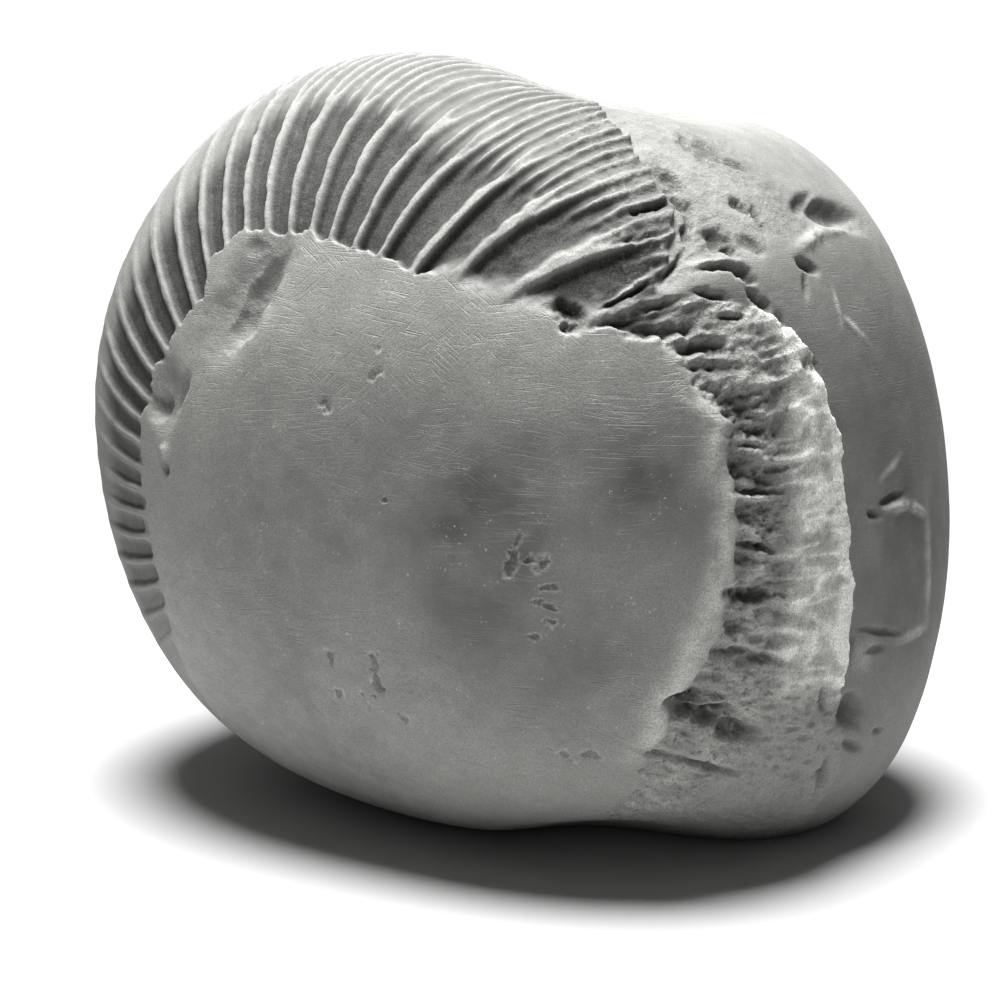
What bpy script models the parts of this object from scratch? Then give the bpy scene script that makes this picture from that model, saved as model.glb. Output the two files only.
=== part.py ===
"""Ammonite nodule: one river-worn concretion standing on its rim.

Metres, +Z up.  The shell's coil axis lies along Y.  The smooth front dome faces -Y, the ribbed
whorl shows round the rim, and the back lobe faces +Y.  The origin is at the middle of the
bounding box's bottom, on the flat worn foot that the stone stands on.

The surface is a distance from the stone's heart for each direction.  A direction is given by
two angles: "turn" runs round the coil from +X through +Z, and "tilt" runs from the middle of
the front dome (0 degrees) over the rim (90) to the middle of the back lobe (180).
"""

from math import radians

import bmesh
import bpy
import numpy as np

MM = 0.001

# Driving sizes, in millimetres.
HALF_WIDTH = 51.2
HALF_HEIGHT = 49.0
FRONT_DEPTH = 38.0
BACK_DEPTH = 42.5
FOOT_DROP = 47.0  # from the stone's heart down to its flat foot

# How square the stone is: 2 is an ellipse.
OUTLINE_POWER = 2.6
FRONT_POWER = 2.4
BACK_POWER = 2.8

# Broad swells and hollows: turn, tilt and spread in degrees, height in millimetres.
SWELLS = (
    (106, 85, 21, 6.0),  # crown of the whorl
    (74, 98, 10, -5.4),  # saddle between the crown and the back lobe
    (49, 127, 23, 4.6),  # crown of the back lobe
    (-43, 107, 18, 9.7),  # heel of the back lobe
    (-6, 125, 18, 6.9),  # side of the back lobe
    (-56, 100, 12, 1.7),  # toe of the back lobe
    (-62, 81, 11, -4.9),  # notch beside the foot
    (-126, 75, 30, -3.9),  # undercut at the lower left
    (-118, 116, 28, 5.0),  # lower left of the back lobe
    (185, 70, 28, 5.2),  # left flank
    (160, 85, 25, 1.1),  # left shoulder
    (-161, 57, 18, -1.5),  # worn lower edge of the left flank
)

# Edges of the ribbed band, as (turn, tilt) in degrees: the front dome ends at the first one,
# and the back lobe begins at the second.
DOME_EDGE = (
    (-53, 66), (-30, 60), (0, 63.5), (20, 60), (32, 55), (41, 47), (60, 41), (90, 41.5),
    (110, 45.5), (123, 47), (131, 42), (182, 41.5), (207, 46), (226, 57), (245, 92), (285, 92),
)  # fmt: skip
LOBE_EDGE = (
    (-60, 98), (-33, 91), (-17, 85), (0, 83.5), (17, 81.5), (25, 78), (34, 65), (48, 70),
    (63, 76), (76, 92), (90, 102), (180, 106), (225, 104), (245, 92), (285, 92),
)  # fmt: skip

# How deep the ribs still are round the coil, as (turn in degrees, millimetres): wear has
# rubbed them almost away at the right and near the foot.
RIB_DEPTHS = (
    (-60, 0.2), (26, 0.3), (36, 1.1), (105, 1.1), (150, 0.7), (195, 0.6), (222, 0.2), (250, 0.0), (285, 0.0),
)  # fmt: skip

RIBS = 48
RIB_LEAN = 0.25  # degrees of turn that a rib swings back for each degree of tilt
BAND_SINK = 0.6
BAND_FADE = 4.0  # degrees

COLUMNS = 4 * RIBS
ROWS = 30

STONE_COLOUR = (0.19, 0.19, 0.18, 1.0)
STONE_ROUGHNESS = 0.62
SHARP_EDGE_ANGLE = 50.0  # degrees between two faces, above which their edge isn't shaded smooth


def clear_scene():
    for obj in list(bpy.data.objects):
        bpy.data.objects.remove(obj, do_unlink=True)


def direction(turn, tilt):
    """The unit vector of a turn and a tilt, both in radians."""
    return np.stack(
        [np.sin(tilt) * np.cos(turn), -np.cos(tilt), np.sin(tilt) * np.sin(turn)], axis=-1
    )


def round_the_coil(table, turn):
    """A table's value at each turn, joined end to end round the coil."""
    turns, values = zip(*table)
    return np.interp(np.degrees(turn), turns, values, period=360)


def ramp(start, end, value):
    """0 before start, 1 after end, and a smooth rise between them."""
    step = np.clip((value - start) / (end - start), 0, 1)
    return step * step * (3 - 2 * step)


def body_radius(turn, tilt):
    """The worn stone without its ribs: a squarish lens with swells and hollows."""
    across, up, depth = np.cos(turn), np.sin(turn), np.cos(tilt)
    rim = (
        np.abs(across / HALF_WIDTH) ** OUTLINE_POWER + np.abs(up / HALF_HEIGHT) ** OUTLINE_POWER
    ) ** (-1 / OUTLINE_POWER)
    half_depth = np.where(depth > 0, FRONT_DEPTH, BACK_DEPTH)
    power = np.where(depth > 0, FRONT_POWER, BACK_POWER)
    radius = ((np.sin(tilt) / rim) ** power + (np.abs(depth) / half_depth) ** power) ** (-1 / power)
    for swell_turn, swell_tilt, spread, height in SWELLS:
        centre = direction(radians(swell_turn), radians(swell_tilt))
        angle = np.arccos(np.clip(direction(turn, tilt) @ centre, -1, 1))
        radius = radius + height * np.exp(-0.5 * (angle / radians(spread)) ** 2)
    return radius


def rib_relief(turn, tilt):
    """The ribbed band, cut a little below the smooth stone on both sides of it."""
    tilt_deg = np.degrees(tilt)
    dome, lobe = round_the_coil(DOME_EDGE, turn), round_the_coil(LOBE_EDGE, turn)
    band = ramp(dome, dome + BAND_FADE, tilt_deg) * (1 - ramp(lobe - BAND_FADE, lobe, tilt_deg))
    phase = RIBS * (turn + radians(RIB_LEAN) * (tilt_deg - 90))
    valley = 0.5 - 0.5 * np.cos(phase)
    return -band * (BAND_SINK + round_the_coil(RIB_DEPTHS, turn) * valley)


def surface_points():
    """A row of points for each tilt between the two poles, in millimetres from the heart."""
    turn = np.linspace(0, 2 * np.pi, COLUMNS, endpoint=False)[None, :]
    tilt = np.linspace(0, np.pi, ROWS + 2)[1:-1, None]
    turn, tilt = np.broadcast_arrays(turn, tilt)
    radius = body_radius(turn, tilt) + rib_relief(turn, tilt)
    return direction(turn, tilt) * radius[..., None]


def stone_mesh():
    points = surface_points()
    mesh = bmesh.new()
    rows = [[mesh.verts.new(point) for point in row] for row in points]
    front = mesh.verts.new((0, -FRONT_DEPTH, 0))
    back = mesh.verts.new((0, BACK_DEPTH, 0))
    for column in range(COLUMNS):
        after = (column + 1) % COLUMNS
        mesh.faces.new((front, rows[0][after], rows[0][column]))
        mesh.faces.new((back, rows[-1][column], rows[-1][after]))
        for near, far in zip(rows, rows[1:]):
            mesh.faces.new((near[column], near[after], far[after], far[column]))
    return mesh


def wear_foot_flat(mesh):
    """Cuts the underside to the flat facet that the stone stands on."""
    cut = bmesh.ops.bisect_plane(
        mesh,
        geom=mesh.verts[:] + mesh.edges[:] + mesh.faces[:],
        dist=1e-6,
        plane_co=(0, 0, -FOOT_DROP),
        plane_no=(0, 0, -1),
        clear_outer=True,
    )
    rim = [item for item in cut["geom_cut"] if isinstance(item, bmesh.types.BMEdge)]
    bmesh.ops.contextual_create(mesh, geom=rim)


def stand_on_origin(mesh):
    """Moves the bottom middle of the bounding box to the origin, and turns millimetres to metres."""
    points = np.array([vert.co for vert in mesh.verts])
    low, high = points.min(axis=0), points.max(axis=0)
    base = ((low[0] + high[0]) / 2, (low[1] + high[1]) / 2, low[2])
    bmesh.ops.translate(mesh, verts=mesh.verts, vec=[-value for value in base])
    bmesh.ops.scale(mesh, verts=mesh.verts, vec=(MM, MM, MM))


def stone_material():
    material = bpy.data.materials.new("worn_limestone")
    material.use_nodes = True
    shader = material.node_tree.nodes["Principled BSDF"]
    shader.inputs["Base Color"].default_value = STONE_COLOUR
    shader.inputs["Roughness"].default_value = STONE_ROUGHNESS
    shader.inputs["Metallic"].default_value = 0.0
    return material


def build_nodule():
    mesh = stone_mesh()
    wear_foot_flat(mesh)
    stand_on_origin(mesh)
    bmesh.ops.recalc_face_normals(mesh, faces=mesh.faces)
    data = bpy.data.meshes.new("ammonite_nodule")
    mesh.to_mesh(data)
    mesh.free()
    data.shade_smooth()
    data.set_sharp_from_angle(angle=radians(SHARP_EDGE_ANGLE))
    nodule = bpy.data.objects.new("ammonite_nodule", data)
    nodule.data.materials.append(stone_material())
    bpy.context.scene.collection.objects.link(nodule)


clear_scene()
build_nodule()
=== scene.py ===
"""Looks of the ammonite nodule: one river-worn stone with a ribbed whorl round its rim.

The stone is a distance from its heart for each direction, as in the CAD part.  "Turn" runs
round the shell's coil from +X through +Z, and "tilt" runs from the middle of the front dome
(0 degrees) over the rim (90) to the middle of the back lobe (180).  Lengths are millimetres
until the mesh is made.
"""

from math import cos, radians, sin, tan
from types import SimpleNamespace

import bpy
import numpy as np
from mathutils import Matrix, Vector


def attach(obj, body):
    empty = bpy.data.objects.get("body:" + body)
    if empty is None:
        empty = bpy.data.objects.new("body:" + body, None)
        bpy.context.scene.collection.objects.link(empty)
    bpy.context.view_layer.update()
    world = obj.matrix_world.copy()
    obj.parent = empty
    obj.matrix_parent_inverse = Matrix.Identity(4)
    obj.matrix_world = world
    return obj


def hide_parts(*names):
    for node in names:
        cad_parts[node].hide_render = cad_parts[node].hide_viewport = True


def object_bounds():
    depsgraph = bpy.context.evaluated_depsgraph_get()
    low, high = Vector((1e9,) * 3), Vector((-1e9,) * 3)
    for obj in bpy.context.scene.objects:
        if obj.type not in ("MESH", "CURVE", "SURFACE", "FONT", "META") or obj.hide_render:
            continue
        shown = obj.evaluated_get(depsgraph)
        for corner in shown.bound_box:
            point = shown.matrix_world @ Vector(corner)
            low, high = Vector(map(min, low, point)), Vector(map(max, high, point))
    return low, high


MM = 0.001

# ------------------------------------------------------------------ the stone's form (as in CAD)

HALF_WIDTH = 51.2
HALF_HEIGHT = 49.0
FRONT_DEPTH = 38.0
BACK_DEPTH = 42.5
FOOT_DROP = 47.0

OUTLINE_POWER = 2.6
FRONT_POWER = 2.4
BACK_POWER = 2.8

# Broad swells and hollows: turn, tilt and spread in degrees, height in millimetres.
SWELLS = (
    (106, 85, 21, 6.0),  # crown of the whorl
    (74, 98, 10, -5.4),  # saddle between the crown and the back lobe
    (49, 127, 23, 4.6),  # crown of the back lobe
    (-43, 107, 18, 9.7),  # heel of the back lobe
    (-6, 125, 18, 6.9),  # side of the back lobe
    (-56, 100, 12, 1.7),  # toe of the back lobe
    (-62, 81, 11, -4.9),  # notch beside the foot
    (-126, 75, 30, -3.9),  # undercut at the lower left
    (-118, 116, 28, 5.0),  # lower left of the back lobe
    (185, 70, 28, 5.2),  # left flank
    (160, 85, 25, 1.1),  # left shoulder
    (-161, 57, 18, -1.5),  # worn lower edge of the left flank
)

# Edges of the ribbed band, as (turn, tilt) in degrees.
DOME_EDGE = (
    (-53, 66), (-40, 61), (-30, 59.5), (-20, 60.5), (-8, 62.5), (0, 63.5), (8, 62), (15, 62.5), (20, 60),
    (26, 59.5), (32, 55.5), (36, 51), (41, 47), (50, 43), (60, 41), (75, 41), (90, 41.5), (100, 44),
    (110, 45.5), (118, 47.5), (125, 46.5), (131, 42), (150, 41), (182, 41.5), (200, 43), (210, 47),
    (226, 57), (245, 92), (285, 92),
)  # fmt: skip
LOBE_EDGE = (
    (-60, 98), (-33, 90), (-24, 86), (-10, 85), (0, 83.5), (10, 82), (17, 79.5), (21, 78), (25, 75),
    (30, 70), (35, 61), (39, 62.5), (42, 66.5), (46, 69), (50, 70.5), (55, 72), (63, 76), (70, 84),
    (76, 92), (90, 102), (108, 107), (124, 101), (142, 107), (158, 102), (178, 108), (196, 103), (212, 107),
    (225, 103), (245, 92), (285, 92),
)  # fmt: skip

# Marks on the surface: turn and tilt in degrees, half length and half width in millimetres, the
# way the long side points (0 along the tilt, 90 along the turn), and the depth in millimetres.
BAND_HOLLOWS = (
    (30.8, 59.3, 4.0, 0.7, -21, 1.3), (26.2, 63.1, 3.5, 1.0, -20, 1.7), (23.9, 62.1, 2.2, 0.6, -19, 1.0),
    (20.0, 62.7, 1.6, 0.6, -26, 1.0), (17.8, 65.4, 2.3, 1.4, -35, 1.3), (15.2, 66.4, 2.6, 0.7, -19, 1.4),
    (13.0, 67.0, 3.5, 1.2, -13, 1.2), (11.2, 66.6, 1.5, 0.4, -19, 0.9), (8.4, 65.2, 1.7, 1.2, -50, 1.4),
    (6.7, 67.6, 2.6, 1.1, -21, 1.1), (4.6, 67.3, 2.9, 0.5, -6, 1.9), (1.0, 67.5, 3.5, 1.5, -10, 1.2),
    (-3.2, 66.9, 2.2, 0.5, -14, 1.7), (-4.9, 65.4, 1.7, 0.8, -11, 1.0), (-10.2, 66.7, 3.8, 0.7, -5, 2.1),
    (-14.6, 65.6, 1.6, 1.1, -26, 1.4), (-18.6, 66.0, 2.0, 0.5, 5, 1.0), (-19.3, 71.0, 2.6, 0.6, -5, 1.0),
    (-27.6, 61.9, 2.5, 1.6, 30, 2.7), (-28.4, 65.4, 3.5, 1.8, -4, 2.8), (-29.9, 70.0, 3.2, 1.5, -10, 2.3),
    (-36.8, 67.6, 6.8, 0.5, 4, 1.6), (-37.0, 64.5, 2.6, 0.8, 4, 0.8), (-41.0, 62.1, 0.8, 0.3, -14, 0.6),
)  # fmt: skip
LEFT_CHIPS = (
    (118.8, 39.6, 7.8, 3.6, -59, 1.3), (117.8, 38.2, 6.6, 2.2, -57, 2.3), (113.6, 44.6, 2.6, 1.4, 84, 0.8),
    (155.2, 38.6, 4.0, 2.4, -79, 1.1), (153.4, 36.0, 3.0, 0.9, 88, 1.0), (158.0, 39.5, 2.2, 1.7, -80, 1.9),
    (173.7, 36.4, 0.9, 0.7, -82, 0.8),
)  # fmt: skip
SHELL_BREAKS = (
    (49.6, 71.8, 2.2, 1.5, 80, 1.2), (46.0, 70.6, 2.1, 0.6, 82, 1.2), (42.0, 68.7, 2.4, 0.5, 49, 1.1),
    (38.4, 64.0, 1.9, 0.4, 22, 1.0), (41.0, 49.8, 1.9, 1.1, 86, 1.7), (35.0, 57.3, 4.6, 0.6, -14, 1.2),
    (38.2, 57.3, 3.2, 0.3, -4, 0.8), (44.0, 63.0, 3.2, 0.4, -20, 0.8), (47.5, 66.0, 2.6, 0.4, -22, 0.8),
)  # fmt: skip
TOP_CHIPS = (
    (53.5, 80.3, 2.2, 0.7, 48, 0.5), (51.0, 81.4, 2.8, 1.9, 76, 0.45), (47.6, 83.4, 1.6, 0.9, -50, 0.5),
    (41.4, 77.7, 1.5, 0.6, -69, 0.8), (39.0, 78.8, 1.9, 0.4, 74, 0.9), (38.7, 70.8, 1.7, 1.6, -78, 1.2),
    (36.9, 71.6, 1.1, 0.5, -51, 1.4), (36.6, 75.0, 1.8, 1.0, -40, 0.5), (35.4, 69.4, 2.1, 0.5, -23, 1.5),
    (33.4, 71.8, 1.4, 0.6, -59, 1.4), (29.8, 72.5, 1.7, 0.4, -56, 1.4), (32.7, 66.3, 1.9, 0.4, -30, 1.0),
    (28.8, 68.0, 1.7, 0.3, -21, 0.8), (25.6, 74.5, 1.3, 0.4, 80, 1.1), (20.0, 77.6, 1.7, 1.0, -43, 1.0),
)  # fmt: skip
BACK_CHIPS = (
    (37.2, 96.4, 6.4, 1.9, -11, 1.7), (39.6, 90.4, 3.4, 1.1, 12, 1.0), (31.7, 83.1, 1.7, 0.7, -28, 1.3),
    (29.5, 81.3, 1.4, 0.5, 67, 0.5), (-0.4, 96.0, 2.7, 0.8, 6, 0.85),
    (-1.8, 91.6, 1.3, 0.8, -17, 0.8), (-17.3, 93.4, 4.6, 0.6, -10, 0.55), (-19.4, 92.1, 2.1, 0.7, 1, 0.45),
    (-19.3, 86.8, 1.9, 0.5, 76, 0.9), (-27.3, 89.6, 1.9, 2.7, 74, 2.8), (-31.5, 91.2, 2.0, 0.6, -14, 1.0),
    (-29.9, 95.7, 1.0, 0.4, 0, 0.6), (-35.7, 88.5, 2.6, 0.7, -65, 1.2), (-24.9, 82.3, 1.7, 0.4, -73, 0.8),
)  # fmt: skip
# Thin raised lips and bumps: the depth is how high they stand.
LIPS = (
    (36.6, 67.9, 2.9, 0.45, -20, 0.4), (38.9, 59.0, 3.9, 0.4, 1, 0.5), (34.9, 87.4, 4.3, 0.9, 10, 0.5),
    (35.6, 97.0, 5.2, 0.8, 3, 0.5), (25.4, 86.9, 2.4, 0.5, 87, 0.16), (22.6, 89.9, 2.9, 0.5, -36, 0.16),
    (-1.6, 97.4, 3.2, 0.7, -3, 0.4), (-2.8, 102.2, 2.6, 0.6, -24, 0.35), (-10.8, 104.6, 6.4, 0.9, 88, 0.16),
    (-18.5, 100.6, 3.4, 0.6, 6, 0.35), (3.7, 96.0, 2.6, 0.5, 25, 0.12), (3.7, 67.0, 2.8, 0.35, -6, 0.4),
    (-5.0, 70.5, 2.4, 0.35, -10, 0.3), (168.6, 36.2, 0.9, 0.8, 0, 0.35), (-20.0, 90.0, 2.4, 1.7, 8, 0.16),
)  # fmt: skip
FACE_PITS = (
    (-2.7, 33.9, 1.2, 0.7, 70, 0.40), (-10.5, 33.2, 2.0, 0.8, 85, 0.25), (-9.2, 37.4, 1.7, 1.0, 60, 0.45),
    (-8.6, 35.4, 1.0, 0.6, 40, 0.30), (-13.8, 39.1, 1.1, 0.6, 10, 0.45), (-21.6, 40.8, 1.0, 0.6, -20, 0.40),
    (-18.4, 39.6, 1.8, 0.6, 5, 0.25), (-26.8, 39.5, 0.8, 0.6, 30, 0.30), (-75.8, 27.4, 1.6, 0.9, -19, 0.35),
    (-77.5, 31.0, 1.9, 0.9, -10, 0.40), (-81.5, 33.4, 1.1, 0.6, 60, 0.30), (-96.0, 27.3, 1.3, 0.7, 16, 0.30),
    (-94.9, 33.9, 1.2, 1.0, 14, 0.35), (-84.5, 33.9, 1.0, 0.6, 30, 0.30), (-74.0, 37.2, 1.0, 0.8, 3, 0.35),
    (-46.1, 52.3, 1.5, 0.7, 10, 0.30), (-43.2, 54.9, 1.3, 1.0, 20, 0.30), (15.0, 11.8, 0.5, 0.4, 0, 0.40),
    (92.5, 18.5, 1.3, 0.7, 60, 0.30), (69.7, 25.7, 1.5, 0.5, -42, 0.35), (73.3, 29.4, 0.8, 0.6, 10, 0.30),
)  # fmt: skip
# Chips and dents on the side away from the whorl.
REAR_CHIPS = (
    (120, 150, 6.0, 2.2, 40, 0.7), (60, 140, 4.0, 1.8, -30, 0.9), (200, 135, 5.0, 1.3, 70, 0.7),
    (232, 150, 3.2, 2.0, 10, 0.9), (-70, 150, 4.5, 1.5, 60, 0.8), (-118, 140, 6.5, 2.8, 20, 0.7),
    (8, 160, 2.8, 1.9, 0, 0.8), (92, 125, 5.5, 1.1, 80, 0.8), (150, 118, 4.2, 2.3, -20, 0.8),
    (190, 113, 3.2, 1.6, 0, 0.9), (-150, 120, 5.2, 1.9, 50, 0.8), (-95, 118, 3.2, 2.1, 0, 1.0),
    (30, 130, 3.2, 1.2, 20, 0.8), (-22, 146, 3.6, 1.6, -40, 0.8), (162, 141, 2.2, 1.6, 0, 0.7),
    (74, 113, 4.4, 2.1, 30, 0.7), (172, 84, 3.6, 1.6, 70, 0.7), (208, 92, 2.6, 1.5, 10, 0.8),
)  # fmt: skip
# Soft darker patches on the polished stone: turn, tilt and spread in degrees, and strength.
STAINS = (
    (20, 10, 12, 0.30), (-160, 12, 13, 0.14), (7.2, 28.5, 8, 0.46), (10.3, 53.5, 7, 0.55),
    (-26, 25.6, 8, 0.36), (0, 38, 16, 0.26), (-32, 46, 10, 0.34), (-115, 34, 14, 0.12),
    (85, 74, 17, 0.40), (50, 86, 12, 0.20), (42, 92, 7, 0.30), (12.2, 99.6, 11, 0.42),
    (-10, 98.2, 8, 0.35), (20, 165, 16, 0.30), (125, 140, 14, 0.35), (235, 132, 13, 0.30),
    (-80, 138, 12, 0.35), (160, 108, 9, 0.30),
)  # fmt: skip

# ------------------------------------------------------------------------------ the band's layout

# Turns of the main ribs where they leave the front dome.  The rest follow at even steps.
SHARP_RIBS = (
    38.5, 50.5, 61.5, 70.5, 80.5, 88, 95, 100.5, 106, 111.5, 116.5, 121.5, 127, 133, 139.5, 146, 152.5, 159,
)  # fmt: skip
WORN_RIB_STEP = 4.6
LEFT_RIB_STEP = 5.5
RIB_START_TILT = 47
RIB_DROP = 1.5  # degrees of turn over which a rib falls away on its steep side
# Where the deep valleys between the ribs run out into the rubbed rim, as (turn, tilt).
VALLEY_TIPS = (
    (30, 66), (45, 61), (50, 60.5), (58, 59.6), (68, 59), (80, 59.3), (84, 60.3), (94, 64.4), (100, 65.6),
    (112, 66), (117, 61.7), (131, 59.7), (149, 57), (160, 56), (174, 54), (185, 55), (196, 60), (215, 62),
)  # fmt: skip
# How far a rib swings back in turn for each degree of tilt, as (turn, swing).
RIB_SWING = (
    (-60, 0.0), (-20, -0.02), (0, -0.15), (25, -0.34), (60, -0.33), (78, -0.38), (90, -0.25),
    (112, -0.12), (150, -0.15), (230, -0.1), (270, 0.0),
)  # fmt: skip

# Where each stretch of the coil fades in or out, in degrees of turn from -90 to 270.
WORN_FROM = (-62, -54)  # the worn stretch at the right
PALE_CREST_FROM = (-27, -18)  # its upper part, with a pale crest along the rim
CRISP_FROM = (30, 36)  # the crisp ribs
BROKEN_SHELL_FROM, BROKEN_SHELL_TO = (34, 38), (64, 72)  # their broken end
LEFT_FLANK_FROM = (108, 150)  # the fainter ribs of the left flank
RUBBED_AWAY_FROM = (198, 222)  # the lower left, with no ribs left
LIP_FROM, LIP_TO = (-44, -30), (14, 24)  # the rubbed lip of the dome
CROWDED_TO = (108, 118)  # the last turns where ribs of their own grow in the valleys
WIDE_VALLEY = 8.3  # degrees between two main ribs, above which two ribs grow between them
SPLIT_SEED = 7  # sets where each rib splits in two
STEEP_PART = 0.3  # part of the way from crest to crest that counts as the steep side

CREST_FROM_TILT = (70.5, 74.5)  # tilts over which the broken hollows give way to the crest
LIP_HALF_TILT = 1.6
STEP_FADE_TILT = 7.0  # how fast the step beyond the rim comes back to the body's form

# Heights and depths in millimetres.
RIB_DEPTH = 1.4
LEFT_RIB_DEPTH = 0.72
LIP_RISE = 0.5
CREST_EDGE_RISE = 0.35
PIT_DEPTH = 0.16

MOST_PALE = 1.7  # the mask of pale stone and painted highlight may pass 1, because the material thins it in patches

# The surface's grid.  The rows are closest on the front dome and the rim: even steps down the
# grid, and the tilts that they reach.
COLUMNS = 1680
ROWS = 400
ROW_STEPS = (0, 0.28, 0.79, 1)
ROW_TILTS = (0, 38, 108, 180)


def ramp(start, end, value):
    """0 before start, 1 after end, and a smooth rise between them."""
    step = np.clip((value - start) / (end - start), 0, 1)
    return step * step * (3 - 2 * step)


def round_the_coil(table, turn):
    """A value that runs from point to point round the coil and joins up with itself."""
    turns, values = zip(*table)
    return np.interp(turn, turns, values, period=360)


def direction(turn, tilt):
    """The unit vector of a turn and a tilt in degrees."""
    turn, tilt = np.radians(turn), np.radians(tilt)
    return np.stack(
        [np.sin(tilt) * np.cos(turn), -np.cos(tilt), np.sin(tilt) * np.sin(turn)], axis=-1
    )


def body_radius(turn, tilt):
    """The worn stone without its ribs: a squarish lens with swells and hollows."""
    across, up = np.cos(np.radians(turn)), np.sin(np.radians(turn))
    flat, depth = np.sin(np.radians(tilt)), np.cos(np.radians(tilt))
    rim = (
        np.abs(across / HALF_WIDTH) ** OUTLINE_POWER + np.abs(up / HALF_HEIGHT) ** OUTLINE_POWER
    ) ** (-1 / OUTLINE_POWER)
    half_depth = np.where(depth > 0, FRONT_DEPTH, BACK_DEPTH)
    power = np.where(depth > 0, FRONT_POWER, BACK_POWER)
    radius = ((flat / rim) ** power + (np.abs(depth) / half_depth) ** power) ** (-1 / power)
    towards = direction(turn, tilt)
    for swell_turn, swell_tilt, spread, height in SWELLS:
        angle = np.arccos(np.clip(towards @ direction(swell_turn, swell_tilt), -1, 1))
        radius = radius + height * np.exp(-0.5 * (angle / radians(spread)) ** 2)
    return radius


# ------------------------------------------------------------------------------ noise


HASH_STEPS = np.array([374761393, 668265263, 1274126177])  # large odd numbers that scatter the cells


def lattice_noise(points, seed):
    """Smooth value noise in -1..1 at each point, one cell per unit."""
    cell = np.floor(points).astype(np.int64)
    part = points - cell
    part = part * part * (3 - 2 * part)
    total = np.zeros(points.shape[:-1])
    for corner in range(8):
        offset = np.array([corner & 1, (corner >> 1) & 1, corner >> 2])
        key = cell + offset
        mixed = key @ HASH_STEPS + seed * 974711
        mixed = (mixed ^ (mixed >> 13)) * 1103515245
        mixed = (mixed ^ (mixed >> 16)) & 0xFFFFFF
        value = mixed / 0x7FFFFF - 1.0
        weight = np.where(offset == 1, part, 1 - part).prod(axis=-1)
        total += weight * value
    return total


def rough_noise(points, size, seed, layers=3):
    """Fractal noise whose largest lumps are about `size` millimetres."""
    # Each layer is half as high as the one before, about half as large, and moved off it.
    total, height, scale = 0, 1.0, 1 / size
    for layer in range(layers):
        total = total + height * lattice_noise(points * scale + 17.3 * layer, seed + layer)
        height, scale = height * 0.5, scale * 2.03
    return total / 1.6


# ------------------------------------------------------------------------------ ribs


def rib_count_line():
    """Turns of every main rib, in rising order, and the number of each."""
    turns = list(SHARP_RIBS)
    while turns[0] > WORN_FROM[0]:
        turns.insert(0, turns[0] - WORN_RIB_STEP)
    while turns[-1] < turns[0] + 360 - 1.5 * LEFT_RIB_STEP:
        turns.append(turns[-1] + LEFT_RIB_STEP)
    turns.append(turns[0] + 360)
    return np.array(turns), np.arange(len(turns))


def rib_height(turn, tilt, tip, wobble):
    """The ribs' height, from 0 in a valley to 1 on a crest, and 1 on their steep side."""
    start_turn = turn - round_the_coil(RIB_SWING, turn) * (tilt - RIB_START_TILT) + wobble
    turns, numbers = rib_count_line()
    low = turns[0]
    wrapped = low + np.mod(start_turn - low, 360)
    number = np.interp(wrapped, turns, numbers)
    gap = np.interp(wrapped, (turns[1:] + turns[:-1]) / 2, np.diff(turns))
    chance = np.random.default_rng(SPLIT_SEED).uniform(-1, 1, len(turns))
    crowded = 1 - ramp(*CROWDED_TO, wrapped)
    split_tilt = tip - 5 + 4 * chance[np.round(number).astype(int) % len(turns)] + 12 * (1 - crowded)
    wide = gap > WIDE_VALLEY
    split = (0.25 - np.where(wide, 0.12, 0.08 * crowded)) * ramp(split_tilt, split_tilt + 12, tilt)
    place = np.mod(number + split, 1.0) - split  # from -split to 1 - split, 0 on the main rib
    inside = place < split
    width = np.where(inside, np.maximum(2 * split, 1e-4), 1 - 2 * split)
    fall = 1 - np.where(inside, place + split, place - split) / width  # 0 just clockwise of a crest
    height = tooth(fall, width * gap)
    # Ribs of their own grow in the valleys at the top, towards the rim: two in a wide valley, else one.
    extra = crowded * ramp(tip - 4, tip + 3, tilt) * ~inside
    parts = np.where(wide, 3, 2)
    height = height * (1 - extra) + tooth(np.mod(parts * fall, 1.0), width * gap / parts) * extra
    height = np.where(inside, 1 - (1 - height) * ramp(0.03, 0.20, split), height)
    return height, (fall < STEEP_PART) * 1.0


def tooth(fall, width):
    """One rib in section: a round crest, a short steep drop, and a long rise to the next crest."""
    drop_part = np.clip(RIB_DROP / width, 0.18, 0.45)
    drop = 1 - fall / drop_part
    rise_start = np.minimum(drop_part + 0.22, 0.6)
    rise = (np.clip(fall - rise_start, 0, 1) / (1 - rise_start)) ** 1.7
    height = np.clip(np.maximum(drop, rise) * 1.06, 0, 1)
    return height * height * (3 - 2 * height)


def surface_ways(turn, tilt):
    """Unit vectors along rising turn and rising tilt at one direction."""
    turn, tilt = radians(turn), radians(tilt)
    return (
        np.array([-sin(turn), 0, cos(turn)]),
        np.array([cos(tilt) * cos(turn), sin(tilt), cos(tilt) * sin(turn)]),
    )


def outline_wobble(points, size):
    """A sideways wobble that makes a mark's outline ragged."""
    return np.stack([rough_noise(points, 1.1 * size + 0.5, seed, 3) for seed in (41, 43, 47)], axis=-1)


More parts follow.
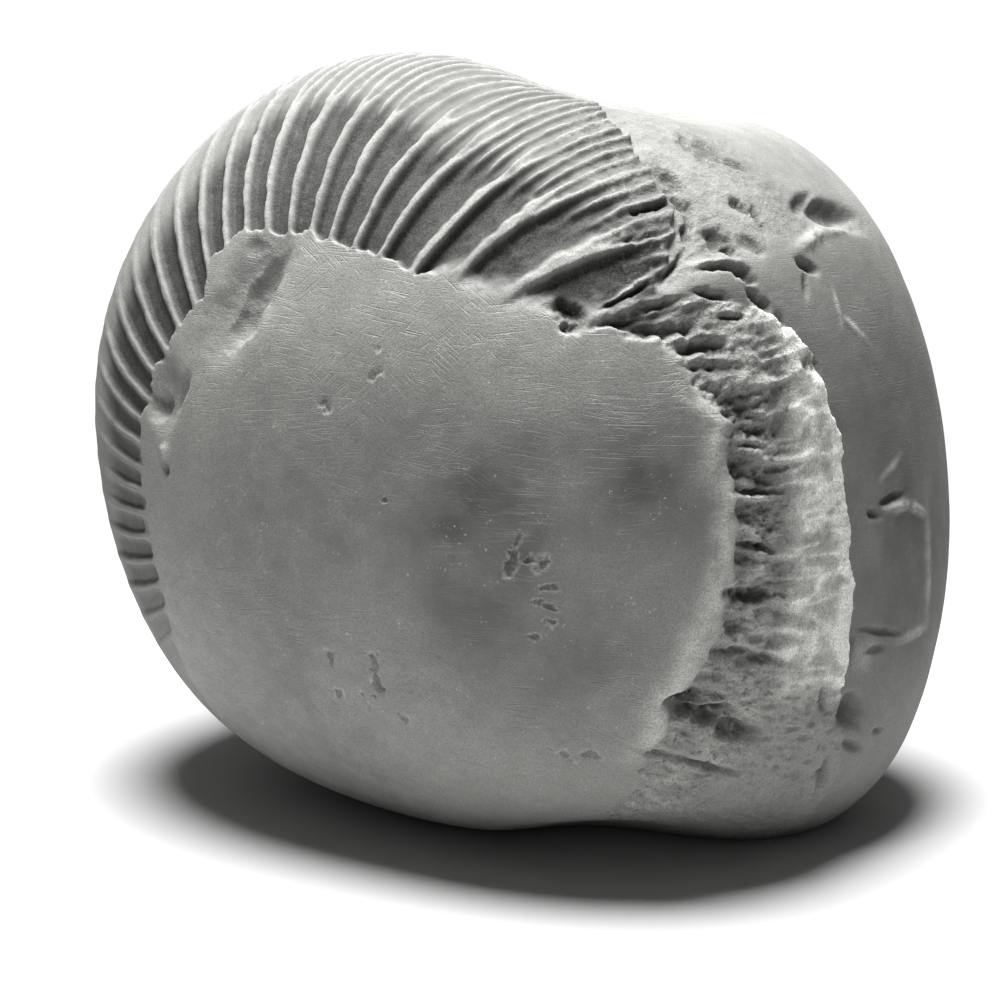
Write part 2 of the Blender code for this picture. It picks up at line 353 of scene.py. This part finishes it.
def mark_cover(points, mark, sharpness, ragged):
    """How far each point lies in a mark: 1 in its middle, 0 outside."""
    turn, tilt, half_length, half_width, way, _ = mark
    cover = np.zeros(points.shape[:-1])
    centre = direction(turn, tilt) * body_radius(np.array(turn), np.array(tilt))
    near = np.linalg.norm(points - centre, axis=-1) < 1.7 * (half_length + half_width) + 1
    offset = points[near] - centre
    offset = offset + ragged * half_width * outline_wobble(points[near], half_width)
    turn_way, tilt_way = surface_ways(turn, tilt)
    long_way = cos(radians(way)) * tilt_way + sin(radians(way)) * turn_way
    short_way = cos(radians(way)) * turn_way - sin(radians(way)) * tilt_way
    reach = (offset @ long_way / half_length) ** 2 + (offset @ short_way / half_width) ** 2
    cover[near] = np.exp(-(reach**sharpness))
    return cover


def cut_marks(points, marks, sharpness=1.5, ragged=0.5):
    """The depth that a group of marks takes off, and how much of the surface it covers."""
    depth = np.zeros(points.shape[:-1])
    cover = np.zeros(points.shape[:-1])
    for mark in marks:
        inside = mark_cover(points, mark, sharpness, ragged)
        depth = np.maximum(depth, mark[-1] * inside)
        cover = np.maximum(cover, inside)
    return depth, cover


def broken_ribs(turn, tilt):
    """Thin uneven ridges along the tilt, 1 on a ridge: what is left of the ribs where they broke."""
    ridges = 0
    for turn_size, tilt_size, seed, weight in ((3.4, 9, 61, 0.6), (1.5, 4, 67, 0.4)):
        place = np.stack([turn / turn_size, tilt / tilt_size, np.zeros_like(turn)], axis=-1)
        ridges = ridges + weight * (1 - np.abs(lattice_noise(place, seed))) ** 3
    return ridges


def stains(turn, tilt):
    """How stained the stone is in each direction."""
    towards = direction(turn, tilt)
    total = np.zeros(turn.shape)
    for stain_turn, stain_tilt, spread, strength in STAINS:
        angle = np.arccos(np.clip(towards @ direction(stain_turn, stain_tilt), -1, 1))
        total = total + strength * np.exp(-0.5 * (angle / radians(spread)) ** 2)
    return total


def survey(turn, tilt, points):
    """What lies at each point: noise, the stretch of the coil, and the band's edges."""
    spot = SimpleNamespace(turn=turn, tilt=tilt, points=points)
    spot.wrapped = wrapped = np.mod(turn + 90, 360) - 90
    spot.broad = rough_noise(points, 9.0, 3)
    spot.fine = rough_noise(points, 1.6, 11)
    spot.gritty = rough_noise(points, 0.9, 13, 2)

    spot.crisp = ramp(*CRISP_FROM, wrapped)
    spot.broken_shell = ramp(*BROKEN_SHELL_FROM, wrapped) * (1 - ramp(*BROKEN_SHELL_TO, wrapped))
    spot.worn = (1 - spot.crisp) * ramp(*WORN_FROM, wrapped)
    spot.upper = ramp(*PALE_CREST_FROM, wrapped)
    spot.left = ramp(*LEFT_FLANK_FROM, wrapped)
    spot.ribbed = spot.crisp * (1 - ramp(*RUBBED_AWAY_FROM, wrapped))

    dome = round_the_coil(DOME_EDGE, turn) + (0.5 + 0.7 * spot.worn) * rough_noise(points, 4.0, 21)
    spot.dome = dome + spot.crisp * (0.8 + 1.2 * rough_noise(points, 2.2, 23))
    ragged = 0.7 + 1.2 * spot.broken_shell + 0.5 * spot.worn
    lobe = round_the_coil(LOBE_EDGE, turn) + ragged * rough_noise(points, 3.0, 31)
    spot.lobe = lobe + 2.2 * spot.left * rough_noise(points, 8.0, 33)
    spot.tip = round_the_coil(VALLEY_TIPS, turn) + 1.2 * rough_noise(points, 5.0, 27)

    slope = 1.4 - 0.5 * spot.crisp + 1.8 * ramp(150, 190, wrapped) + 4.5 * spot.broken_shell
    spot.into_band = ramp(spot.dome, spot.dome + slope, tilt)
    spot.past_band = ramp(spot.lobe - 0.5, spot.lobe + 0.3, tilt)
    spot.band = spot.into_band * (1 - spot.past_band)
    return spot


def survey_ribs(spot):
    """The crisp ribs, which crumble towards the rim."""
    wobble = 0.3 * spot.broad + 0.22 * rough_noise(spot.points, 3.0, 17)
    ribs, spot.steep = rib_height(spot.turn, spot.tilt, spot.tip, wobble)
    crumbled = ramp(spot.tip - 4, spot.tip + 6, spot.tilt) * (1 - spot.left)
    ribs = ribs * (1 + (0.25 + 0.30 * crumbled) * rough_noise(spot.points, 2.6, 19))
    grain = 0.22 * spot.fine * spot.broken_shell + (0.09 + 0.13 * crumbled) * spot.gritty
    spot.ribs = np.clip(ribs + grain, 0, 1)
    near_rim = ramp(spot.lobe - 15, spot.lobe - 4, spot.tilt)
    spot.shell_crumble = spot.broken_shell * spot.band * near_rim


def survey_worn(spot):
    """The worn stretch at the right: a rubbed lip, broken hollows, and a pale crest along the rim."""
    crest_start = ramp(*CREST_FROM_TILT, spot.tilt + 1.8 * spot.broad)
    spot.hollow_zone = spot.worn * spot.into_band * (1 - crest_start) * (1 - spot.past_band)
    spot.crest_zone = spot.worn * spot.band * crest_start
    # The crest's outer edge is raised a little, and the colour gives it a painted highlight.
    spot.crest_edge = ramp(spot.lobe - 4, spot.lobe - 1, spot.tilt)
    spot.ridges = broken_ribs(spot.turn, spot.tilt)
    lip_stretch = ramp(*LIP_FROM, spot.wrapped) * (1 - ramp(*LIP_TO, spot.wrapped))
    spot.lip = lip_stretch * np.exp(-(((spot.tilt - spot.dome + 1.4) / LIP_HALF_TILT) ** 2))
    spot.matrix = spot.broken_shell * spot.past_band * (1 - ramp(84, 92, spot.tilt))


def survey_marks(spot):
    """Each group of marks: its depth, and how much of the surface it covers."""
    spot.hollows, _ = cut_marks(spot.points, BAND_HOLLOWS, 1.5, 0.9)
    spot.chips, spot.chip_cover = cut_marks(spot.points, LEFT_CHIPS, 1.7, 0.3)
    spot.breaks, spot.break_cover = cut_marks(spot.points, SHELL_BREAKS + TOP_CHIPS, 1.5, 0.9)
    spot.back, spot.back_cover = cut_marks(spot.points, BACK_CHIPS, 1.5, 0.35)
    spot.rear, spot.rear_cover = cut_marks(spot.points, REAR_CHIPS, 1.4, 0.6)
    spot.lips, spot.lip_cover = cut_marks(spot.points, LIPS, 1.2, 0.4)
    _, pits = cut_marks(spot.points, FACE_PITS, 1.0, 0.3)
    spot.pit_cover = ramp(0.35, 0.85, pits + 0.7 * spot.gritty * (pits > 0.08))


def relief_height(spot):
    """How far the surface stands above the body's form, in millimetres."""
    broad, fine, gritty, left, upper = spot.broad, spot.fine, spot.gritty, spot.left, spot.upper
    rubbed = 1 - (0.60 + 0.3 * left) * ramp(spot.tip - 5, spot.tip + 5, spot.tilt)
    rubbed = rubbed + 0.25 * left * ramp(72, 82, spot.tilt)
    rib_depth = (RIB_DEPTH + (LEFT_RIB_DEPTH - RIB_DEPTH) * left) * rubbed * spot.ribbed
    height = -spot.band * rib_depth * (1 - spot.ribs)
    height = height + 0.25 * spot.broken_shell * spot.band
    height = height + spot.shell_crumble * (0.16 * fine + 0.14 * gritty)

    sunk = 0.25 + 0.52 * upper * (1 - spot.ridges) + 0.42 * gritty + 0.26 * fine
    raised = 0.12 + 0.20 * (spot.ridges - 0.5) + (0.28 - 0.14 * upper) * gritty + 0.10 * fine
    height = height - spot.hollow_zone * sunk + spot.crest_zone * raised
    lower = spot.worn * (1 - upper)
    height = height - lower * spot.band * (0.45 * np.abs(fine) + 0.55 * np.abs(gritty))
    height = height + CREST_EDGE_RISE * spot.crest_zone * upper * spot.crest_edge
    height = height + LIP_RISE * spot.lip - spot.hollows * (0.7 + 0.35 * gritty)

    # Beyond the rim the matrix lies a little lower, and comes back to the body's form.
    step = 0.8 * spot.worn * ramp(-34, -22, spot.wrapped) + 0.85 * spot.broken_shell + 0.3 * left
    height = height - spot.past_band * np.exp((spot.lobe - spot.tilt) / STEP_FADE_TILT) * step

    height = height - spot.chips * (1 + 0.05 * fine) - spot.breaks * (1 + 0.25 * gritty)
    height = height - spot.back * (1 + 0.1 * fine) - spot.rear * (1 + 0.2 * fine)
    height = height + spot.lips * (1 + 0.5 * gritty) - PIT_DEPTH * spot.pit_cover * (1 + 0.6 * gritty)
    height = height + 0.16 * broad * (1 - spot.band) + 0.012 * fine
    height = height + spot.matrix * (0.18 * fine + 0.09 * gritty)
    return height + 0.5 * ramp(108, 130, spot.tilt) * rough_noise(spot.points, 17.0, 53, 2)


def colour_masks(spot):
    """Where the stone is pale or carries a painted highlight, where painted shade with some dirt darkens its
    recesses, and where it is stained, rough and smooth, each from 0 to about 1.
    """
    left = spot.left
    # Painted shade with some dirt: the rib valleys are darkened where the crests would shade them.
    valley = 0.35 * left + (1 - 0.35 * left) * ramp(0.12, 0.6, 1 - spot.ribs)
    fade_start = spot.tip - 1.5 - 2 * left
    valley = valley * (1 - (0.55 + 0.4 * left) * ramp(fade_start, fade_start + 6, spot.tilt))
    valley = valley * (1 - 0.40 * ramp(150, 182, spot.wrapped))
    valley = valley * spot.band * spot.ribbed * (1 - spot.lip_cover)
    # More painted shade with some dirt, in the hollows, chips, breaks and pits.
    shade_and_dirt = valley + 0.33 * spot.hollows + 0.07 * spot.hollow_zone * spot.upper * (1 - spot.ridges)
    shade_and_dirt = shade_and_dirt + 0.12 * spot.chip_cover + 0.42 * spot.back_cover + 0.17 * spot.pit_cover
    shade_and_dirt = shade_and_dirt + 0.5 * spot.break_cover + 0.2 * spot.rear_cover

    rough = spot.hollow_zone + 0.35 * spot.crest_zone + spot.break_cover + 0.5 * spot.matrix
    rough = rough + 0.4 * spot.back_cover + 0.4 * spot.chip_cover + 0.5 * spot.rear_cover
    rough = rough + 0.9 * spot.pit_cover + 0.15 * spot.band * spot.steep * spot.crisp
    rough = rough + 0.7 * spot.shell_crumble

    # The worn crest is pale stone. The extra paleness towards its outer edge is a painted highlight.
    pale_and_highlight = spot.crest_zone * spot.upper * (0.95 + 0.9 * spot.crest_edge + 1.4 * (spot.ridges - 0.45))
    pale_and_highlight = pale_and_highlight + 0.45 * spot.lip + 0.3 * spot.lip_cover + 0.4 * spot.hollow_zone * spot.ridges
    pale_and_highlight = pale_and_highlight + (0.08 - 0.07 * left) * spot.band * spot.crisp * ramp(0.7, 1.0, spot.ribs)
    pit_edge = 4 * spot.pit_cover * (1 - spot.pit_cover)

    patches = stains(spot.turn, spot.tilt) * (1 + 0.8 * rough_noise(spot.points, 5.0, 51))
    under_rim = spot.past_band * spot.worn * (1 - ramp(104, 124, spot.tilt))
    return {
        "pale_and_highlight": np.clip(pale_and_highlight + 0.25 * pit_edge, 0, MOST_PALE),
        "shade_and_dirt": np.clip(shade_and_dirt, 0, 1),
        "stain": np.clip(patches + 0.3 * under_rim, 0, 1),
        "rough": np.clip(rough, 0, 1),
        "smooth": np.clip(1 - spot.band - rough, 0, 1) * (1 - 0.6 * spot.past_band),
    }


def stone_relief(turn, tilt, points):
    """Everything finer than the body's form: its height in millimetres, and masks for the colour."""
    spot = survey(turn, tilt, points)
    survey_ribs(spot)
    survey_worn(spot)
    survey_marks(spot)
    return relief_height(spot), colour_masks(spot)


# ------------------------------------------------------------------------------ the mesh


def grid_angles():
    """Turn and tilt of each grid point, in degrees, closer together on the front and the rim."""
    turn = np.linspace(0, 360, COLUMNS, endpoint=False)
    even = np.linspace(0, 1, ROWS + 2)[1:-1]
    tilt = np.interp(even, ROW_STEPS, ROW_TILTS)
    return np.meshgrid(turn, tilt)


def grid_faces():
    """Quads between the rows and a fan of triangles at each pole, as flat loop lists."""
    index = np.arange(ROWS * COLUMNS).reshape(ROWS, COLUMNS)
    after = np.roll(index, -1, axis=1)
    quads = np.stack([index[:-1], after[:-1], after[1:], index[1:]], axis=-1).reshape(-1, 4)
    front, back = ROWS * COLUMNS, ROWS * COLUMNS + 1
    front_fan = np.stack([np.full(COLUMNS, front), after[0], index[0]], axis=-1)
    back_fan = np.stack([np.full(COLUMNS, back), index[-1], after[-1]], axis=-1)
    return quads, np.concatenate([front_fan, back_fan])


# The flat map's measures, in degrees on the stone.
CAP_TILT = 52  # how far each cap's disc reaches from its pole
STRIP_TURN = 120  # how much of the rim each strip covers
MAP_GAP = 2.5
MAP_MARGIN = 2.0


def bake_map(tilts):
    """A flat layout of the surface in 0..1: a disc for each cap and three strips round the rim."""
    step = 360 / COLUMNS
    strip_height = 180 - 2 * CAP_TILT
    side = STRIP_TURN + 2 * CAP_TILT + 3 * MAP_GAP + MAP_MARGIN
    middle = STRIP_TURN + 2 * MAP_GAP + CAP_TILT
    front_middle, back_middle = MAP_GAP + CAP_TILT, 2 * MAP_GAP + 3 * CAP_TILT

    row, column = np.meshgrid(np.arange(ROWS - 1), np.arange(COLUMNS), indexing="ij")
    turn = (column[..., None] + np.array([0, 1, 1, 0])) * step
    tilt = tilts[row[..., None] + np.array([0, 0, 1, 1])]
    around, over = np.radians(turn), 180 - tilt
    strip = (column // (COLUMNS // 3))[..., None]
    strip_up = MAP_GAP + strip * (strip_height + MAP_GAP) + tilt - CAP_TILT
    strip_map = (MAP_GAP + turn - strip * STRIP_TURN, strip_up)
    front_map = (middle + tilt * np.cos(around), front_middle + tilt * np.sin(around))
    back_map = (middle - over * np.cos(around), back_middle + over * np.sin(around))
    in_front = (tilt.max(axis=-1) <= CAP_TILT)[..., None]
    in_back = (tilt.min(axis=-1) >= 180 - CAP_TILT)[..., None]
    quads = [
        np.where(in_front, front, np.where(in_back, back, round_rim))
        for front, back, round_rim in zip(front_map, back_map, strip_map)
    ]

    here = np.radians(np.arange(COLUMNS) * step)
    after = here + radians(step)

    def fan(up_middle, reach, mirror, turns):
        """A pole's triangles on the map: the pole, then the two outer corners, across and up."""
        across = [np.full(COLUMNS, middle)] + [middle + mirror * reach * np.cos(turn) for turn in turns]
        up = [np.full(COLUMNS, up_middle)] + [up_middle + reach * np.sin(turn) for turn in turns]
        return np.stack(across, axis=-1).ravel(), np.stack(up, axis=-1).ravel()

    front_across, front_up = fan(front_middle, tilts[0], 1, (after, here))
    back_across, back_up = fan(back_middle, 180 - tilts[-1], -1, (here, after))
    across = np.concatenate([quads[0].ravel(), front_across, back_across])
    up = np.concatenate([quads[1].ravel(), front_up, back_up])
    return np.stack([across, up], axis=-1) / side


def make_mesh(name, points, quads, fans, masks, flat_map):
    """A smooth mesh with the masks as attributes and a flat map."""
    mesh = bpy.data.meshes.new(name)
    loops = np.concatenate([quads.ravel(), fans.ravel()])
    starts = np.concatenate([np.arange(len(quads)) * 4, len(quads) * 4 + np.arange(len(fans)) * 3])
    mesh.vertices.add(len(points))
    mesh.vertices.foreach_set("co", points.astype(np.float32).ravel())
    mesh.loops.add(len(loops))
    mesh.loops.foreach_set("vertex_index", loops.astype(np.int32))
    mesh.polygons.add(len(starts))
    mesh.polygons.foreach_set("loop_start", starts.astype(np.int32))
    mesh.update(calc_edges=True)
    for mask, values in masks.items():
        layer = mesh.attributes.new(mask, "FLOAT", "POINT")
        layer.data.foreach_set("value", values.astype(np.float32))
    baked = mesh.uv_layers.new(name="OFBake")
    baked.data.foreach_set("uv", flat_map.astype(np.float32).ravel())
    mesh.shade_smooth()
    return mesh


def build_stone(heart):
    """The visual stone around its heart, cut flat at the foot."""
    turn, tilt = grid_angles()
    radius = body_radius(turn, tilt)
    points = direction(turn, tilt) * radius[..., None]
    height, masks = stone_relief(turn, tilt, points)
    points = direction(turn, tilt) * (radius + height)[..., None]
    points = points.reshape(-1, 3)
    poles = np.array([points[:COLUMNS].mean(axis=0), points[-COLUMNS:].mean(axis=0)])
    points = np.concatenate([points, poles])
    points[:, 2] = np.maximum(points[:, 2], -FOOT_DROP)
    masks = {name: np.concatenate([values.ravel(), [0, 0]]) for name, values in masks.items()}
    quads, fans = grid_faces()
    mesh = make_mesh("nodule_surface", points * MM + heart, quads, fans, masks, bake_map(tilt[:, 0]))
    stone = bpy.data.objects.new("nodule_surface", mesh)
    bpy.context.scene.collection.objects.link(stone)
    return stone


def heart_of(cad_box):
    """The stone's heart: above the middle of the CAD box's bottom."""
    (low_x, low_y, low_z), (high_x, high_y, _) = cad_box
    body_turn, body_tilt = np.meshgrid(np.arange(0, 360, 2), np.arange(2, 180, 2))
    body = direction(body_turn, body_tilt) * body_radius(body_turn, body_tilt)[..., None]
    middle = (body.reshape(-1, 3).min(axis=0) + body.reshape(-1, 3).max(axis=0)) / 2
    return np.array(
        [
            (low_x + high_x) / 2 - middle[0] * MM,
            (low_y + high_y) / 2 - middle[1] * MM,
            low_z + FOOT_DROP * MM,
        ]
    )


# ------------------------------------------------------------------------------ material


class Nodes:
    """Short ways to add and join shader nodes."""

    def __init__(self, tree):
        self.nodes, self.links = tree.nodes, tree.links

    def put(self, socket, value):
        if isinstance(value, bpy.types.NodeSocket):
            self.links.new(value, socket)
        else:
            socket.default_value = value

    def mask(self, name):
        node = self.nodes.new("ShaderNodeAttribute")
        node.attribute_name = name
        return node.outputs["Fac"]

    def noise(self, where, size, detail=4, roughness=0.55):
        """Noise whose lumps are about `size` millimetres across."""
        node = self.nodes.new("ShaderNodeTexNoise")
        self.put(node.inputs["Vector"], where)
        node.inputs["Scale"].default_value = 1 / (size * MM)
        node.inputs["Detail"].default_value = detail
        node.inputs["Roughness"].default_value = roughness
        return node.outputs["Fac"]

    def math(self, operation, first, second=0.0, clamp=False):
        node = self.nodes.new("ShaderNodeMath")
        node.operation, node.use_clamp = operation, clamp
        self.put(node.inputs[0], first)
        self.put(node.inputs[1], second)
        return node.outputs[0]

    def ramp(self, value, low, high, to_low=0.0, to_high=1.0):
        node = self.nodes.new("ShaderNodeMapRange")
        node.interpolation_type = "SMOOTHSTEP"
        names = ("Value", "From Min", "From Max", "To Min", "To Max")
        for name, given in zip(names, (value, low, high, to_low, to_high)):
            self.put(node.inputs[name], given)
        return node.outputs[0]

    def blend(self, amount, first, second):
        node = self.nodes.new("ShaderNodeMix")
        node.data_type = "RGBA"
        self.put(node.inputs["Factor"], amount)
        self.put(node.inputs["A"], first)
        self.put(node.inputs["B"], second)
        return node.outputs["Result"]

    def stretched(self, where, slope, sizes):
        """The place in a frame turned about Y by `slope` degrees and stretched by `sizes` along its axes."""
        node = self.nodes.new("ShaderNodeMapping")
        node.vector_type = "TEXTURE"
        self.put(node.inputs["Vector"], where)
        node.inputs["Rotation"].default_value = (0, radians(slope), 0)
        node.inputs["Scale"].default_value = sizes
        return node.outputs[0]


def grey(value):
    """A grey with the stone's slight warm cast."""
    return (value, value, value * 0.95, 1)


# Families of fine scratches: the slope in degrees down to the right, and the length and width in mm.
SCRATCHES = ((1, 5.0, 0.17), (-7, 3.5, 0.14), (9, 4.0, 0.15), (36, 3.4, 0.16), (-42, 2.6, 0.15))


def scratches(make, where):
    """Short straight scratches in a few directions, in loose patches, where the stone was rubbed."""
    total = None
    for slope, length, width in SCRATCHES:
        strand = make.noise(make.stretched(where, slope, (length, length, width)), 1, detail=0)
        patch = make.noise(make.stretched(where, 7 * slope, (1, 1, 1)), 9.0, detail=3)
        line = make.math("MULTIPLY", make.ramp(strand, 0.62, 0.80), make.ramp(patch, 0.44, 0.66))
        total = line if total is None else make.math("MAXIMUM", total, line)
    return total


# Greys of the stone, as linear reflectance.
STONE_GREYS = (0.208, 0.262)
MOTTLE_GREY = 0.32
STAIN_GREY = 0.085
# The grey of pale stone, and of the painted highlight along the worn crest's edge.
PALE_AND_HIGHLIGHT_GREY = 0.86
# The grey of the painted shade, with some dirt, in the rib valleys, hollows and chips.
SHADE_AND_DIRT_GREY = 0.018
BRIGHT_CRUMB_GREY = 0.42
DARK_CRUMB_GREY = 0.055
DUST_GREY = 0.50
GRAIN_GREY = 0.10
SCRATCH_GREY = 0.42


def stone_material():
    material = bpy.data.materials.new("worn_limestone")
    material.use_nodes = True
    make = Nodes(material.node_tree)
    shader = make.nodes["Principled BSDF"]
    where = make.nodes.new("ShaderNodeTexCoord").outputs["Object"]

    pale_and_highlight, shade_and_dirt, stain, rough, smooth = (
        make.mask(name) for name in ("pale_and_highlight", "shade_and_dirt", "stain", "rough", "smooth")
    )
    cloud = make.noise(where, 22, detail=3)
    mottle = make.noise(where, 3.0, detail=6, roughness=0.66)
    crumbs = make.noise(where, 1.1, detail=5, roughness=0.72)
    speck = make.noise(where, 0.42, detail=2, roughness=0.6)
    grain = make.noise(where, 0.20, detail=1, roughness=0.6)
    lines = make.math("MULTIPLY", scratches(make, where), smooth)

    colour = make.blend(make.ramp(cloud, 0.35, 0.65), *map(grey, STONE_GREYS))
    colour = make.blend(make.ramp(mottle, 0.35, 0.75, 0.0, 0.5), colour, grey(MOTTLE_GREY))
    colour = make.blend(stain, colour, grey(STAIN_GREY))
    # Pale stone, with a painted highlight along the worn crest's edge.
    paleness_and_highlight = make.math("MULTIPLY", pale_and_highlight, make.ramp(mottle, 0.32, 0.56, 0.45, 1.0), clamp=True)
    colour = make.blend(paleness_and_highlight, colour, grey(PALE_AND_HIGHLIGHT_GREY))
    # Painted shade, with some dirt, in the rib valleys, hollows, chips and pits.
    shade_and_dirt_amount = make.math("MULTIPLY", shade_and_dirt, make.ramp(mottle, 0.25, 0.75, 1.0, 0.9))
    colour = make.blend(shade_and_dirt_amount, colour, grey(SHADE_AND_DIRT_GREY))
    bright_crumb = make.math("MULTIPLY", rough, make.ramp(crumbs, 0.54, 0.68, 0, 0.6))
    colour = make.blend(bright_crumb, colour, grey(BRIGHT_CRUMB_GREY))
    dark_crumb = make.math("MULTIPLY", rough, make.ramp(crumbs, 0.34, 0.46, 0.65, 0))
    colour = make.blend(dark_crumb, colour, grey(DARK_CRUMB_GREY))
    dust = make.math("MULTIPLY", make.ramp(speck, 0.64, 0.71), make.ramp(mottle, 0.46, 0.66, 0.05, 0.9))
    colour = make.blend(make.math("MULTIPLY", dust, smooth), colour, grey(DUST_GREY))
    colour = make.blend(make.ramp(grain, 0.60, 0.35, 0, 0.42), colour, grey(GRAIN_GREY))
    colour = make.blend(make.math("MULTIPLY", lines, 0.10), colour, grey(SCRATCH_GREY))
    make.put(shader.inputs["Base Color"], colour)

    polish = make.math("MULTIPLY", smooth, make.ramp(mottle, 0.3, 0.7, 0.6, 1.0))
    make.put(shader.inputs["Roughness"], make.ramp(polish, 0, 1, 0.82, 0.5))
    shader.inputs["Specular IOR Level"].default_value = 0.32

    fine = make.math("MULTIPLY", make.math("SUBTRACT", grain, 0.5), make.ramp(rough, 0, 1, 0.035, 0.08))
    lumps = make.math("MULTIPLY", make.math("SUBTRACT", crumbs, 0.5), make.ramp(rough, 0, 1, 0.06, 0.55))
    height = make.math("ADD", fine, lumps)
    height = make.math("SUBTRACT", height, make.math("MULTIPLY", lines, 0.045))
    bump = make.nodes.new("ShaderNodeBump")
    bump.inputs["Distance"].default_value = MM
    bump.inputs["Strength"].default_value = 1.0
    make.put(bump.inputs["Height"], height)
    make.put(shader.inputs["Normal"], bump.outputs[0])
    return material


# ------------------------------------------------------------------------------ stage

CAMERA_AZIMUTH = 30.0
CAMERA_ELEVATION = 9.4
CAMERA_DISTANCE = 251.4
CAMERA_FIELD = 30.0
AIM_RIGHT, AIM_DOWN = 1.0, 4.5
SENSOR = 36.0

FLOOR_FADE = (0.13, 0.27)  # metres from the stone
ROOM_LIGHT = 0.093
TOP_PLACE = (0.0, -0.05, 0.55)
TOP_SIZE = 0.28
TOP_WATTS = 10.5
FLOOR_WHITE = 0.5
BACKDROP = 1.05  # the room as the camera sees it behind the stone


def camera_axes():
    azimuth, elevation = radians(CAMERA_AZIMUTH), radians(CAMERA_ELEVATION)
    back = Vector((sin(azimuth) * cos(elevation), -cos(azimuth) * cos(elevation), sin(elevation)))
    right = Vector((cos(azimuth), sin(azimuth), 0))
    return back, right, back.cross(right)


def add_camera(heart):
    back, right, up = camera_axes()
    heart = Vector(heart)
    place = heart + back * CAMERA_DISTANCE * MM
    aim = heart + (right * AIM_RIGHT - up * AIM_DOWN) * MM
    data = bpy.data.cameras.new("camera")
    data.sensor_width = SENSOR
    data.lens = SENSOR / 2 / tan(radians(CAMERA_FIELD / 2))
    data.clip_start = 0.01
    camera = bpy.data.objects.new("camera", data)
    camera.location = place
    camera.rotation_euler = (aim - place).to_track_quat("-Z", "Y").to_euler()
    bpy.context.scene.collection.objects.link(camera)
    bpy.context.scene.camera = camera


def add_floor():
    """A white table that fades into the white room away from the stone."""
    mesh = bpy.data.meshes.new("floor")
    half = FLOOR_FADE[1]
    corners = [(-half, -half, 0), (half, -half, 0), (half, half, 0), (-half, half, 0)]
    mesh.from_pydata(corners, [], [(0, 1, 2, 3)])
    floor = bpy.data.objects.new("floor", mesh)
    material = bpy.data.materials.new("white_table")
    material.use_nodes = True
    make = Nodes(material.node_tree)
    shader = make.nodes["Principled BSDF"]
    shader.inputs["Base Color"].default_value = (FLOOR_WHITE, FLOOR_WHITE, FLOOR_WHITE, 1)
    shader.inputs["Roughness"].default_value = 0.8
    away = make.nodes.new("ShaderNodeVectorMath")
    away.operation = "LENGTH"
    make.put(away.inputs[0], make.nodes.new("ShaderNodeTexCoord").outputs["Object"])
    make.put(shader.inputs["Alpha"], make.ramp(away.outputs["Value"], *FLOOR_FADE, 1, 0))
    mesh.materials.append(material)
    bpy.context.scene.collection.objects.link(floor)


def add_area(name, place, target, size, watts):
    data = bpy.data.lights.new(name, "AREA")
    data.shape = "DISK"
    data.size = size
    data.energy = watts
    light = bpy.data.objects.new(name, data)
    light.location = place
    light.rotation_euler = (Vector(target) - Vector(place)).to_track_quat("-Z", "Y").to_euler()
    bpy.context.scene.collection.objects.link(light)


def add_light():
    """A broad light overhead in a dim room, with a white backdrop behind everything."""
    scene = bpy.context.scene
    scene.view_settings.view_transform = "Standard"
    world = bpy.data.worlds.new("dim_room")
    world.use_nodes = True
    make = Nodes(world.node_tree)
    scene.world = world
    background = make.nodes["Background"]
    seen = make.nodes.new("ShaderNodeLightPath").outputs["Is Camera Ray"]
    make.put(background.inputs["Strength"], make.ramp(seen, 0, 1, ROOM_LIGHT, BACKDROP))
    background.inputs["Color"].default_value = (1, 1, 1, 1)
    add_area("top_light", TOP_PLACE, (0, 0, 0.05), TOP_SIZE, TOP_WATTS)


# ------------------------------------------------------------------------------ run

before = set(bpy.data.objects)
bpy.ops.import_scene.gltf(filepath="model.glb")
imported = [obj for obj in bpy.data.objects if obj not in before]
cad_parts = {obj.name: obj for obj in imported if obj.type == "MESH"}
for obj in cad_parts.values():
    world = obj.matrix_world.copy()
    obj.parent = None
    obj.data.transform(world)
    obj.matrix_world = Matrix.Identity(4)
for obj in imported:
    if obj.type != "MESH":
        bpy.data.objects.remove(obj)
cad_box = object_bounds()
heart = heart_of(cad_box)
stone = build_stone(heart)
stone.data.materials.append(stone_material())
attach(stone, "root")
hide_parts("ammonite_nodule")
add_floor()
add_light()
add_camera(heart)
